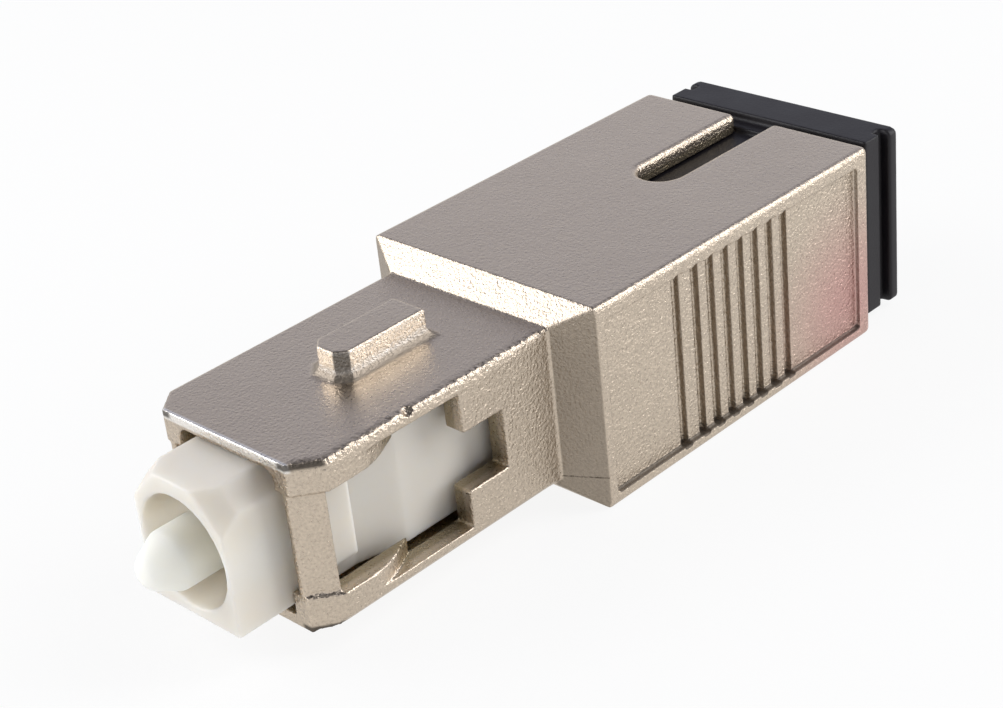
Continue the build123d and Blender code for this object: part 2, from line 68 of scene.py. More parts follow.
# %% Place the camera
IMAGE_W = 1003
LENS_IN_PIXELS = 2092.8
EYE = Vector((-53.608, -56.112, 47.052)) * MM
AIM = Vector((-0.170, 0.520, 4.650)) * MM
LEAN = math.radians(-6.39)

camera_data = bpy.data.cameras.new("camera")
camera_data.sensor_fit = "HORIZONTAL"
camera_data.sensor_width = 36.0
camera_data.lens = LENS_IN_PIXELS / IMAGE_W * camera_data.sensor_width
camera_data.clip_start = 1 * MM
camera_data.clip_end = 10.0
camera = bpy.data.objects.new("camera", camera_data)
bpy.context.collection.objects.link(camera)
look = (AIM - EYE).to_track_quat("-Z", "Y").to_matrix().to_4x4()
camera.matrix_world = Matrix.Translation(EYE) @ look @ Matrix.Rotation(LEAN, 4, "Z")
bpy.context.scene.camera = camera
bpy.context.scene.view_settings.view_transform = "Standard"
print("lens in mm:", round(camera_data.lens, 1))

# %% [markdown]
# ## Colours and nodes
# Colours are written as the hex values that a paint program shows, and Blender's shaders count in
# linear light, so one function turns the first into the second. Materials are trees of nodes. One
# small function adds a node, sets it and links it, which keeps each recipe short enough to read.

# %% Helpers for colours, nodes and materials
def linear(hex_colour):
    """Turn an sRGB hex colour into the linear values that shaders use."""
    values = []
    for i in (1, 3, 5):
        c = int(hex_colour[i:i + 2], 16) / 255
        values.append(c / 12.92 if c <= 0.04045 else ((c + 0.055) / 1.055) ** 2.4)
    return (*values, 1.0)


def add(tree, kind, inputs=None, **settings):
    """Add a node. Settings go on the node, inputs are values or the outputs of other nodes."""
    made = tree.nodes.new(kind)
    for name, value in settings.items():
        setattr(made, name, value)
    for socket, value in (inputs or {}).items():
        if isinstance(value, bpy.types.NodeSocket):
            tree.links.new(value, made.inputs[socket])
        else:
            made.inputs[socket].default_value = value
    return made


def new_material(name):
    """Make an empty material and give back it and its node tree."""
    made = bpy.data.materials.new(name)
    made.use_nodes = True
    made.node_tree.nodes.clear()
    return made, made.node_tree


print("white is", [round(v, 2) for v in linear("#FFFFFF")])

# %% [markdown]
# ## Where the metal lies
# The finish of the housing changes from place to place, and places on it are easiest to tell from
# the middle of the sleeve's front end: how far back along the axis, how far to the side and how
# far up. The sleeve is the foremost part of the housing, so the box of the housing shows whether
# that middle is where the numbers say.

# %% The front centre of the sleeve
X_MIDDLE = 15.325 * MM
AXIS_Z = 4.65 * MM
FRONT_CENTRE = Vector((-X_MIDDLE, 0, AXIS_Z))
SLEEVE_END = 13.0 * MM - X_MIDDLE
SLEEVE_TOP = 3.7 * MM
metal_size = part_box("housing")
print("housing from x", round(metal_size[0][0] / MM, 3), "and the sleeve from", round(FRONT_CENTRE.x / MM, 3))

# %% [markdown]
# ## Blasted nickel plate
# The housing is a zinc die casting that was blasted and then nickel-plated. Nickel is a slightly
# warm grey. Blasting leaves a skin of shallow dents, so the metal is satin: it glows in broad
# patches and never mirrors a sharp shape. The top was rubbed smoother, so its dents are shallower.
# Four noises make this up: two sizes of dents, the gentle waves of the casting, and wide patches
# of tone.

# %% Nickel plate
BEAD_DENT = 0.13 * MM
FINE_DENT = 0.11 * MM
CAST_WAVE = 1.4 * MM
TONE_PATCH = 5.0 * MM
RUBBED_TOP = 0.42

nickel, tree = new_material("nickel_plate_blasted")
place = add(tree, "ShaderNodeTexCoord")
here = place.outputs["Object"]
facing = add(tree, "ShaderNodeSeparateXYZ", {0: place.outputs["Normal"]})
on_top = add(tree, "ShaderNodeMapRange", {
    "Value": facing.outputs["Z"], "From Min": 0.6, "From Max": 0.8, "To Min": 1.0, "To Max": RUBBED_TOP})
dents = add(tree, "ShaderNodeTexNoise", {
    "Vector": here, "Scale": 1 / BEAD_DENT, "Detail": 2.0, "Roughness": 0.6})
specks = add(tree, "ShaderNodeTexNoise", {"Vector": here, "Scale": 1 / FINE_DENT, "Detail": 1.0})
waves = add(tree, "ShaderNodeTexNoise", {"Vector": here, "Scale": 1 / CAST_WAVE, "Detail": 1.0})
patches = add(tree, "ShaderNodeTexNoise", {"Vector": here, "Scale": 1 / TONE_PATCH})
print("nickel dents in mm:", BEAD_DENT / MM, FINE_DENT / MM)

# %% [markdown]
# The plain tone wanders between two near greys and is speckled by the fine dents, less so on the rubbed top.
# Near the rear of the right side a painted pink reflection tints the plate a little rosy, and that fades out
# with the distance from one point.

# %% The tones of the plate
PINK_REFLECTION_PLACE = Vector((15.4, -6.5, 2.2)) * MM
PINK_REFLECTION_REACH = 6.5 * MM
PINK_REFLECTION_STRENGTH = 0.6

tone = add(tree, "ShaderNodeMix", {
    "Factor": patches.outputs["Fac"], "A": linear("#C0B2A1"), "B": linear("#C8BAA8")}, data_type="RGBA")
speck = add(tree, "ShaderNodeMapRange", {
    "Value": specks.outputs["Fac"], "From Min": 0.3, "From Max": 0.7, "To Min": -0.09, "To Max": 0.16})
speck = add(tree, "ShaderNodeMath", {
    0: speck.outputs["Result"], 1: on_top.outputs["Result"], 2: 1.0}, operation="MULTIPLY_ADD")
tone = add(tree, "ShaderNodeVectorMath", {
    0: tone.outputs["Result"], "Scale": speck.outputs[0]}, operation="SCALE")
# Painted reflection: near one point on the right side, the colour is mixed towards a rosy pink.
apart = add(tree, "ShaderNodeVectorMath", {0: here, 1: PINK_REFLECTION_PLACE}, operation="DISTANCE")
pink_reflection = add(tree, "ShaderNodeMapRange", {
    "Value": apart.outputs["Value"], "From Min": 0.0, "From Max": PINK_REFLECTION_REACH,
    "To Min": PINK_REFLECTION_STRENGTH, "To Max": 0.0}, interpolation_type="SMOOTHSTEP")
tone = add(tree, "ShaderNodeMix", {
    "Factor": pink_reflection.outputs["Result"], "A": tone.outputs["Vector"], "B": linear("#CB8F90")}, data_type="RGBA")
print("bloom reaches", PINK_REFLECTION_REACH / MM, "mm")

# %% [markdown]
# Deep inside, shade is painted into the plate: the deeper a point lies, the darker and more olive its colour.
# How deep a point lies follows from how far it is behind the outer skin. The skin is three flat walls: the
# half width at the cut corner, and the half width and the half height at the bevel. Each goes evenly from one
# distance to another between two stations on the axis. The smallest of the depths behind these walls and
# behind the front end tells how far in a point is.

# %% How deep a point lies
SKIN_WALLS = (
    ("Y", 0.0, 1.2, 3.15, 4.2),
    ("Y", 13.0, 14.0, 4.2, 6.0),
    ("Z", 13.0, 14.0, 3.35, 4.25),
)
FRONT_SKIN = 0.1 * MM
RECESS_SHADE_DEPTH = 0.25 * MM
RECESS_SHADE_STRENGTH = 0.75

centred = add(tree, "ShaderNodeVectorMath", {0: here, 1: FRONT_CENTRE}, operation="SUBTRACT")
spot = add(tree, "ShaderNodeSeparateXYZ", {0: centred.outputs["Vector"]})
station = spot.outputs["X"]
height = spot.outputs["Z"]
away = {}
for axis in ("Y", "Z"):
    away[axis] = add(tree, "ShaderNodeMath", {0: spot.outputs[axis]}, operation="ABSOLUTE").outputs[0]
depth = add(tree, "ShaderNodeMath", {0: station, 1: FRONT_SKIN}, operation="SUBTRACT").outputs[0]
for axis, start, end, near, far in SKIN_WALLS:
    skin = add(tree, "ShaderNodeMapRange", {
        "Value": station, "From Min": start * MM, "From Max": end * MM,
        "To Min": near * MM, "To Max": far * MM})
    behind = add(tree, "ShaderNodeMath", {0: skin.outputs["Result"], 1: away[axis]}, operation="SUBTRACT")
    depth = add(tree, "ShaderNodeMath", {0: depth, 1: behind.outputs[0]}, operation="MINIMUM").outputs[0]
# Painted shade in recesses: the deeper a point lies, the more its colour turns to a dark olive. The same
# depth also gives deep places their full dents further on.
inside = add(tree, "ShaderNodeMapRange", {
    "Value": depth, "From Min": 0.0, "From Max": RECESS_SHADE_DEPTH,
    "To Min": 0.0, "To Max": RECESS_SHADE_STRENGTH}, interpolation_type="SMOOTHSTEP")
tone = add(tree, "ShaderNodeMix", {
    "Factor": inside.outputs["Result"], "A": tone.outputs["Result"],
    "B": linear("#9A8D72")}, data_type="RGBA")
print("skin walls:", len(SKIN_WALLS))

# %% [markdown]
# Light and shade are painted into the colour of some places. The foot and the corner of the key, the edges of
# the cut corners, the shoulder and the lower lip of the side panels get painted shade, and the walls of the
# key and the front rim get a painted highlight. Each such place is a mask: a few limits, each a ramp,
# multiplied with each other. The strongest mask of each sort wins.

# %% Masks for single places
def mask_of(tree, *limits):
    """Multiply ramps. Each limit is a value, the start and end of its ramp, and the weights there."""
    mask = 1.0
    for value, start, end, low, high in limits:
        step = add(tree, "ShaderNodeMapRange", {
            "Value": value, "From Min": start, "From Max": end, "To Min": low, "To Max": high})
        product = add(tree, "ShaderNodeMath", {0: step.outputs["Result"], 1: mask}, operation="MULTIPLY")
        mask = product.outputs[0]
    return mask


SHOULDER = 12.0 * MM
STEP = 0.1 * MM
PANEL_START = 14.5 * MM

to_corner = add(tree, "ShaderNodeVectorMath", {
    0: place.outputs["Normal"], 1: (-0.707, -0.707, 0)}, operation="DOT_PRODUCT").outputs["Value"]
before_shoulder = (station, SHOULDER, SHOULDER + STEP, 1.0, 0.0)
past_shoulder = (station, SHOULDER, SHOULDER + STEP, 0.0, 1.0)
above_sleeve = (height, SLEEVE_TOP + 0.01 * MM, SLEEVE_TOP + 0.07 * MM, 0.0, 1.0)
on_key = (before_shoulder, above_sleeve)
print("the key rises from", SLEEVE_TOP / MM, "mm above the axis")

# %% Painted highlights
key_wall_highlight = mask_of(tree, *on_key, (facing.outputs["Z"], 0.3, 0.6, 0.55, 0.0))
front_rim_highlight = mask_of(
    tree,
    (station, 0.1 * MM, 0.2 * MM, 1.0, 0.0),
    (height, 3.32 * MM, 3.4 * MM, 0.0, 0.9),
)
bright = add(tree, "ShaderNodeMath", {0: key_wall_highlight, 1: front_rim_highlight}, operation="MAXIMUM")
# Painted highlight: the walls of the key and the front rim are mixed towards near white.
tone = add(tree, "ShaderNodeMix", {
    "Factor": bright.outputs[0], "A": tone.outputs["Result"], "B": linear("#F2EEE8")}, data_type="RGBA")
print("nodes so far:", len(tree.nodes))

# %% Painted shade
key_foot_shade = mask_of(tree, *on_key, (height, 3.85 * MM, 4.3 * MM, 0.5, 0.0))
key_corner_shade = mask_of(tree, *on_key, (to_corner, 0.8, 0.95, 0.0, 0.65))
corner_edge_shade = mask_of(
    tree,
    (station, 1.1 * MM, 1.3 * MM, 1.0, 0.0),
    (away["Y"], 3.0 * MM, 3.2 * MM, 0.0, 1.0),
    (away["Z"], 3.4 * MM, 3.5 * MM, 0.0, 0.85),
    (facing.outputs["Z"], 0.8, 0.9, 1.0, 0.0),
)
shoulder_wall_shade = mask_of(tree, past_shoulder, (facing.outputs["X"], -0.86, -0.72, 0.45, 0.0))
low_lip_shade = mask_of(
    tree,
    (station, PANEL_START, PANEL_START + STEP, 0.0, 1.0),
    (height, -2.6 * MM, -2.5 * MM, 1.0, 0.0),
    (facing.outputs["Z"], 0.15, 0.3, 0.0, 0.8),
)
painted_shade_and_rough = key_foot_shade
for mask in (key_corner_shade, corner_edge_shade, shoulder_wall_shade, low_lip_shade):
    painted_shade_and_rough = add(tree, "ShaderNodeMath", {0: painted_shade_and_rough, 1: mask}, operation="MAXIMUM").outputs[0]
# Painted shade: the foot and corner of the key, the top edges of the cut corners, the shoulder wall and the
# lower panel lip are mixed towards a dark grey.
tone = add(tree, "ShaderNodeMix", {
    "Factor": painted_shade_and_rough, "A": tone.outputs["Result"], "B": linear("#4A453F")}, data_type="RGBA")
print("nodes so far:", len(tree.nodes))

# %% [markdown]
# Two small marks tell that this is a casting that was used. The two halves of the die met low on the bevel,
# where they left a thin dark line that is a little ragged. The upper right edge of the sleeve has one small
# nick, and the shade inside it is painted dark.

# %% The parting line and the nick
PARTING_Z = -3.15 * MM
BEVEL_MIDDLE = 13.5 * MM
BEVEL_REACH = 0.5 * MM
RAGGED = 0.1 * MM
NICK_PLACE = Vector((5.42, -4.4, 3.66)) * MM

off_line = add(tree, "ShaderNodeMath", {0: height, 1: PARTING_Z}, operation="SUBTRACT")
off_line = add(tree, "ShaderNodeMath", {0: off_line.outputs[0]}, operation="ABSOLUTE")
off_line = add(tree, "ShaderNodeMath", {
    0: dents.outputs["Fac"], 1: RAGGED, 2: off_line.outputs[0]}, operation="MULTIPLY_ADD")
on_bevel = add(tree, "ShaderNodeMath", {0: station, 1: BEVEL_MIDDLE, 2: BEVEL_REACH}, operation="COMPARE")
seam = mask_of(
    tree,
    (off_line.outputs[0], 0.055 * MM, 0.09 * MM, 0.75, 0.0),
    (on_bevel.outputs[0], 0.0, 1.0, 0.0, 1.0),
)
tone = add(tree, "ShaderNodeMix", {
    "Factor": seam, "A": tone.outputs["Result"], "B": linear("#3B3226")}, data_type="RGBA")
off_nick = add(tree, "ShaderNodeVectorMath", {
    0: centred.outputs["Vector"], 1: NICK_PLACE}, operation="DISTANCE")
nick = mask_of(tree, (off_nick.outputs["Value"], 0.13 * MM, 0.24 * MM, 0.9, 0.0))
# Painted shade in the nick, darkest at its middle.
tone = add(tree, "ShaderNodeMix", {
    "Factor": nick, "A": tone.outputs["Result"], "B": linear("#2E2722")}, data_type="RGBA")
print("parting line at", round(PARTING_Z / MM, 2), "mm from the axis")

# %% [markdown]
# Relief and gloss finish the metal. The waves are very shallow and the dents lie on top of them.
# Where shade is painted, the plate is also rougher and glows less.

# %% The relief and the gloss of the plate
WAVE_DEPTH = 0.04 * MM
DENT_DEPTH = 0.065 * MM
SHADED_PLACES_ROUGHNESS = 0.35

dent_share = add(tree, "ShaderNodeMath", {
    0: on_top.outputs["Result"], 1: inside.outputs["Result"]}, operation="MAXIMUM")
wave_bump = add(tree, "ShaderNodeBump", {
    "Height": waves.outputs["Fac"], "Strength": 0.25, "Distance": WAVE_DEPTH})
dent_bump = add(tree, "ShaderNodeBump", {
    "Height": dents.outputs["Fac"], "Strength": dent_share.outputs[0], "Distance": DENT_DEPTH,
    "Normal": wave_bump.outputs["Normal"]})
gloss = add(tree, "ShaderNodeMapRange", {
    "Value": specks.outputs["Fac"], "From Min": 0.3, "From Max": 0.7, "To Min": 0.26, "To Max": 0.38})
gloss = add(tree, "ShaderNodeMath", {
    0: painted_shade_and_rough, 1: SHADED_PLACES_ROUGHNESS, 2: gloss.outputs["Result"]}, operation="MULTIPLY_ADD")
shader = add(tree, "ShaderNodeBsdfPrincipled", {
    "Base Color": tone.outputs["Result"], "Metallic": 1.0, "Roughness": gloss.outputs[0],
    "Normal": dent_bump.outputs["Normal"]})
add(tree, "ShaderNodeOutputMaterial", {"Surface": shader.outputs["BSDF"]})
print("nickel nodes:", len(tree.nodes))

# %% [markdown]
# ## White moulded PBT
# The plug frame is moulded from white PBT, a waxy and slightly warm plastic. Light enters it and
# comes out again a little further on, which rounds off its shadows and makes thin walls glow.
# Subsurface scattering does that. Light that went further through it comes out yellower, so red
# reaches furthest and blue least. The ring behind the spring is a greyer natural acetal, made by
# the same recipe with other tones.

# %% White plastic
def moulded_white(name, dark, pale):
    """White moulding plastic between two tones, with light that wanders about 1 mm inside."""
    made, tree = new_material(name)
    here = add(tree, "ShaderNodeTexCoord").outputs["Object"]
    skin = add(tree, "ShaderNodeTexNoise", {"Vector": here, "Scale": 1 / (0.3 * MM), "Detail": 2.0})
    flow = add(tree, "ShaderNodeTexNoise", {"Vector": here, "Scale": 1 / (2.5 * MM)})
    tone = add(tree, "ShaderNodeMix", {
        "Factor": flow.outputs["Fac"], "A": linear(dark), "B": linear(pale)}, data_type="RGBA")
    bump = add(tree, "ShaderNodeBump", {
        "Height": skin.outputs["Fac"], "Strength": 0.15, "Distance": 0.01 * MM})
    gloss = add(tree, "ShaderNodeMapRange", {"Value": skin.outputs["Fac"], "To Min": 0.42, "To Max": 0.55})
    shader = add(tree, "ShaderNodeBsdfPrincipled", {
        "Base Color": tone.outputs["Result"], "Roughness": gloss.outputs["Result"], "IOR": 1.5,
        "Subsurface Weight": 1.0, "Subsurface Radius": (1.0, 0.92, 0.8), "Subsurface Scale": 1.1 * MM,
        "Normal": bump.outputs["Normal"]})
    add(tree, "ShaderNodeOutputMaterial", {"Surface": shader.outputs["BSDF"]})
    return made


white_plastic = moulded_white("white_pbt_moulded", "#DFD9CD", "#E4DFD5")
grey_plastic = moulded_white("natural_pom_moulded", "#C6C5C0", "#CFCEC9")
print("plastics:", white_plastic.name, grey_plastic.name)

# %% [markdown]
# ## Ground zirconia
# The ferrules and the split sleeve are zirconia, a hard white ceramic that is ground and then
# polished. Its index of refraction is high, but its fine grains scatter light deep inside, so the
# highlights are soft and sit on a milky body that looks evenly lit from end to end.

# %% Zirconia
zirconia, tree = new_material("zirconia_ground")
here = add(tree, "ShaderNodeTexCoord").outputs["Object"]
cloud = add(tree, "ShaderNodeTexNoise", {"Vector": here, "Scale": 1 / (1.5 * MM)})
grind = add(tree, "ShaderNodeTexNoise", {"Vector": here, "Scale": 1 / (0.12 * MM), "Detail": 1.0})
tone = add(tree, "ShaderNodeMix", {
    "Factor": cloud.outputs["Fac"], "A": linear("#F8F1E2"), "B": linear("#FBF5E9")}, data_type="RGBA")
gloss = add(tree, "ShaderNodeMapRange", {"Value": grind.outputs["Fac"], "To Min": 0.55, "To Max": 0.7})
shader = add(tree, "ShaderNodeBsdfPrincipled", {
    "Base Color": tone.outputs["Result"], "Roughness": gloss.outputs["Result"], "IOR": 1.8,
    "Subsurface Weight": 1.0, "Subsurface Radius": (1.0, 0.95, 0.88), "Subsurface Scale": 1.8 * MM})
add(tree, "ShaderNodeOutputMaterial", {"Surface": shader.outputs["BSDF"]})
print("zirconia nodes:", len(tree.nodes))

# %% [markdown]
# ## Black moulded plastic
# The dust cap is a black plastic moulding with a fine satin texture from its mould. Black plastic
# is never quite black: its skin scatters a little light, so it reads as a very dark grey.

# %% Black plastic
black_plastic, tree = new_material("black_abs_moulded")
here = add(tree, "ShaderNodeTexCoord").outputs["Object"]
skin = add(tree, "ShaderNodeTexNoise", {"Vector": here, "Scale": 1 / (0.14 * MM), "Detail": 2.0})
rub = add(tree, "ShaderNodeTexNoise", {"Vector": here, "Scale": 1 / (1.8 * MM), "Detail": 2.0})
tone = add(tree, "ShaderNodeMix", {
    "Factor": rub.outputs["Fac"], "A": linear("#121014"), "B": linear("#1E1A1E")}, data_type="RGBA")
bump = add(tree, "ShaderNodeBump", {"Height": skin.outputs["Fac"], "Strength": 0.4, "Distance": 0.015 * MM})
gloss = add(tree, "ShaderNodeMapRange", {"Value": rub.outputs["Fac"], "To Min": 0.38, "To Max": 0.55})
shader = add(tree, "ShaderNodeBsdfPrincipled", {
    "Base Color": tone.outputs["Result"], "Roughness": gloss.outputs["Result"], "IOR": 1.53,
    "Specular IOR Level": 0.3, "Normal": bump.outputs["Normal"]})
add(tree, "ShaderNodeOutputMaterial", {"Surface": shader.outputs["BSDF"]})
print("black plastic nodes:", len(tree.nodes))

# %% [markdown]
# ## The metals and the glass inside
# Three pieces are only seen when the part is open: a turned and nickel-plated brass barrel, a
# spring of drawn steel wire, and the glass fibre, which ends flush in the polished tip of each
# ferrule. Turning leaves fine rings round the axis, and drawing leaves rings where the wire is
# coiled on its mandrel. Both are bands of a wave along X, which is the axis that they go round.

# %% Turned and drawn metal
def turned_metal(name, dark, pale, low, high, ring):
    """Metal with fine tool rings round the optical axis, which lies along X."""
    made, tree = new_material(name)
    here = add(tree, "ShaderNodeTexCoord").outputs["Object"]
    rings = add(tree, "ShaderNodeTexWave", {
        "Vector": here, "Scale": 1 / ring, "Distortion": 1.5, "Detail": 2.0})
    cloud = add(tree, "ShaderNodeTexNoise", {"Vector": here, "Scale": 1 / (0.8 * MM)})
    tone = add(tree, "ShaderNodeMix", {
        "Factor": cloud.outputs["Fac"], "A": linear(dark), "B": linear(pale)}, data_type="RGBA")
    bump = add(tree, "ShaderNodeBump", {
        "Height": rings.outputs["Fac"], "Strength": 0.25, "Distance": 0.01 * MM})
    gloss = add(tree, "ShaderNodeMapRange", {"Value": cloud.outputs["Fac"], "To Min": low, "To Max": high})
    shader = add(tree, "ShaderNodeBsdfPrincipled", {
        "Base Color": tone.outputs["Result"], "Metallic": 1.0, "Roughness": gloss.outputs["Result"],
        "Normal": bump.outputs["Normal"]})
    add(tree, "ShaderNodeOutputMaterial", {"Surface": shader.outputs["BSDF"]})
    return made


plated_brass = turned_metal("brass_nickel_plated_turned", "#C2BCAE", "#D0CABC", 0.2, 0.34, 0.3 * MM)
drawn_wire = turned_metal("spring_steel_drawn", "#A9A6A2", "#BFBCB8", 0.18, 0.3, 0.15 * MM)
print("turned metals:", plated_brass.name, drawn_wire.name)

# %% Doped glass
fibre_glass, tree = new_material("silica_fibre_doped")
here = add(tree, "ShaderNodeTexCoord").outputs["Object"]
haze = add(tree, "ShaderNodeTexNoise", {"Vector": here, "Scale": 1 / (0.05 * MM)})
tone = add(tree, "ShaderNodeMix", {
    "Factor": haze.outputs["Fac"], "A": linear("#DDDAD2"), "B": linear("#ECEAE4")}, data_type="RGBA")
gloss = add(tree, "ShaderNodeMapRange", {"Value": haze.outputs["Fac"], "To Min": 0.1, "To Max": 0.25})
shader = add(tree, "ShaderNodeBsdfPrincipled", {
    "Base Color": tone.outputs["Result"], "Roughness": gloss.outputs["Result"], "IOR": 1.46})
add(tree, "ShaderNodeOutputMaterial", {"Surface": shader.outputs["BSDF"]})
print("glass nodes:", len(tree.nodes))

# %% [markdown]
# ## Soft and chipped edges
# No casting or moulding has knife edges. A fast way to round every edge at once is to wrap the
# solid in an even skin of small faces, smooth that skin a little, and then thin out the faces on
# the flats. Smoothing only moves points that lie near an edge, so the distance that a point moved
# tells how near an edge it is. Blasting and tumbling chip the edges of a casting, and pushing just
# those points in and out by a fine noise does that, less on the left side, which was handled
# less. Normals weighted by face area keep the flats flat to the eye.

# %% Helpers for skins
WEIGHT_STEPS = 20


def points_of(thing):
    """The places of all points of a mesh, as one array."""
    values = np.empty(len(thing.data.vertices) * 3, dtype=np.float32)
    thing.data.vertices.foreach_get("co", values)
    return values.reshape(-1, 3)


def settle(thing):
    """Apply all modifiers of an object to its mesh."""
    depsgraph = bpy.context.evaluated_depsgraph_get()
    result = bpy.data.meshes.new_from_object(thing.evaluated_get(depsgraph))
    thing.modifiers.clear()
    thing.data = result


def smooth_skin(thing, rounds, group=""):
    """Smooth a skin for some rounds, only where the group is painted if one is given."""
    smooth = thing.modifiers.new("soft_edges", "SMOOTH")
    smooth.factor = 0.5
    smooth.iterations = rounds
    smooth.vertex_group = group
    settle(thing)


def paint(thing, name, weights):
    """Store one weight for each point under a group name, in even steps."""
    group = thing.vertex_groups.new(name=name)
    steps = np.round(weights * WEIGHT_STEPS).astype(int)
    for step in range(1, WEIGHT_STEPS + 1):
        chosen = np.flatnonzero(steps == step)
        if len(chosen):
            group.add(chosen.tolist(), step / WEIGHT_STEPS, "REPLACE")


print("weights are kept in steps of", 1 / WEIGHT_STEPS)

# %% [markdown]
# The chips are one more modifier: a fine cloud noise that pushes points along their normals, where
# the edges are painted. A place that was handled most is worn, which means smoothed for many more
# rounds before everything else.

# %% A copy with rounded edges
WORN_ROUNDS = 24
LEFT_SIDE_CHIPS = 0.4


def chip_edges(made, before, voxel, depth, size):
    """Push the points that smoothing moved in and out by a noise of the given depth and size."""
    moved = np.linalg.norm(points_of(made) - before, axis=1)
    near_edge = np.clip(moved / (0.5 * voxel) - 0.1, 0, 1)
    paint(made, "edges", near_edge * np.where(before[:, 1] < 0, 1, LEFT_SIDE_CHIPS))
    noise = bpy.data.textures.new(made.name + "_chips", "CLOUDS")
    noise.noise_scale = size
    noise.noise_depth = 2
    chip = made.modifiers.new("chips", "DISPLACE")
    chip.texture = noise
    chip.texture_coords = "LOCAL"
    chip.strength = depth
    chip.mid_level = 0.6
    chip.vertex_group = "edges"
    settle(made)


def even_skin(name, node, voxel, rounds, faces, chips=0.0, chip_size=0.0, worn=None):
    """Copy a solid, round and chip its edges, and thin it out to about the given number of faces."""
    made = bpy.data.objects.new(name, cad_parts[node].data.copy())
    made.data.materials.clear()
    bpy.context.collection.objects.link(made)
    skin = made.modifiers.new("even_skin", "REMESH")
    skin.mode = "VOXEL"
    skin.voxel_size = voxel
    settle(made)
    before = points_of(made)
    if worn is not None:
        paint(made, "worn", worn(before))
        smooth_skin(made, rounds * WORN_ROUNDS, "worn")
    smooth_skin(made, rounds)
    if chips:
        chip_edges(made, before, voxel, chips, chip_size)
    thin = made.modifiers.new("thin_out", "DECIMATE")
    thin.ratio = min(1.0, faces / (2 * len(made.data.polygons)))
    settle(made)
    made.data.shade_smooth()
    made.modifiers.new("flat_flats", "WEIGHTED_NORMAL")
    settle(made)
    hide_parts(node)
    print(name, "has", len(made.data.polygons), "faces")
    return made


# %% [markdown]
# ## The housing
# The thin plug sleeve in front was handled and tumbled most. The upper and lower edges on its
# right side are rounder than those of the body, so the smoothing there runs for more rounds.

# %% The housing
def sleeve_edges(points):
    """Weight 1 at the top and at the bottom of the sleeve's right half, 0 elsewhere."""
    high = np.abs(points[:, 2] - AXIS_Z) > 3.25 * MM
    along = (points[:, 0] > 0.12 * MM - X_MIDDLE) & (points[:, 0] < SLEEVE_END - 0.3 * MM)
    return (high & along & (points[:, 1] < -2.9 * MM)).astype(float)


housing = even_skin(
    "housing_casting", "housing", 0.06 * MM, 4, 180000,
    chips=0.08 * MM, chip_size=0.14 * MM, worn=sleeve_edges)
housing.data.materials.append(nickel)
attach(housing, "housing")

# %% [markdown]
# Painted shade already darkens the nick in the material, and its points are pushed in a little as well, the
# more the nearer they are to its middle.

# %% Push the nick in
NICK_REACH = 0.28 * MM
NICK_PUSH = Vector((0, 0.1, -0.2)) * MM
nick_heart = NICK_PLACE + FRONT_CENTRE

nicked = 0
for point in housing.data.vertices:
    away_share = (point.co - nick_heart).length / NICK_REACH
    if away_share < 1:
        point.co += NICK_PUSH * (1 - away_share)
        nicked += 1
print("points pushed in for the nick:", nicked)

# %% [markdown]
# ## The mouldings
# The plug frame is a thick and soft-edged moulding, so its skin is smoothed for the most rounds.
# The dust cap was pulled and pushed by hand, so its edges have a few very small dents. The sleeve
# holder is seen only with the cap off, and keeps crisper edges.

# %% The plug frame
plug = even_skin("plug_frame_moulding", "plug_frame", 0.07 * MM, 12, 80000)
plug.data.materials.append(white_plastic)
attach(plug, "core")

# %% The dust cap
cap = even_skin("dust_cap_moulding", "dust_cap", 0.09 * MM, 3, 60000, chips=0.04 * MM, chip_size=0.3 * MM)
cap.data.materials.append(black_plastic)
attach(cap, "dust_cap")

# %% The sleeve holder
holder = even_skin("sleeve_holder_moulding", "sleeve_holder", 0.07 * MM, 3, 80000)
holder.data.materials.append(white_plastic)
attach(holder, "core")

# %% [markdown]
# ## The front ferrule
# A ferrule is ground while it turns, so it is a perfect solid of revolution. Its outline is a row
# of points, and spinning them round the optical axis makes the surface. The cone runs into the
# rounded tip and into the barrel without a sharp line, so the outline has a few more points there.
# The fibre is polished flush with the tip and as pale as the ceramic, so the outline closes over it.

# %% Outline of the ferrule
FERRULE_R = 1.25 * MM
FERRULE_L = 10.5 * MM
TIP_X = -4.55 * MM - X_MIDDLE
TIP_FLAT_R = 0.16 * MM
CONE_L = 1.27 * MM
CONE_END_R = 0.575 * MM
TIP_BEND = 0.42 * MM
SHOULDER_BEND = 0.14 * MM


def curve_between(a, corner, b, steps):
    """Points on a smooth bend from a to b that is drawn towards the corner."""
    bend = []
    for i in range(steps + 1):
        t = i / steps
        bend.append(a * (1 - t) ** 2 + corner * 2 * t * (1 - t) + b * t ** 2)
    return bend


cone_start = Vector((TIP_X, CONE_END_R))
cone_end = Vector((TIP_X + CONE_L, FERRULE_R))
along = (cone_end - cone_start).normalized()
outline = [Vector((TIP_X, 0))]
outline += curve_between(Vector((TIP_X, TIP_FLAT_R)), cone_start, cone_start + along * TIP_BEND, 10)
outline += curve_between(
    cone_end - along * SHOULDER_BEND, cone_end, cone_end + Vector((SHOULDER_BEND, 0)), 8)
outline += [Vector((TIP_X + FERRULE_L, FERRULE_R)), Vector((TIP_X + FERRULE_L, 0))]
print("outline points:", len(outline))

# %% Spin the ferrule
SPIN_STEPS = 96

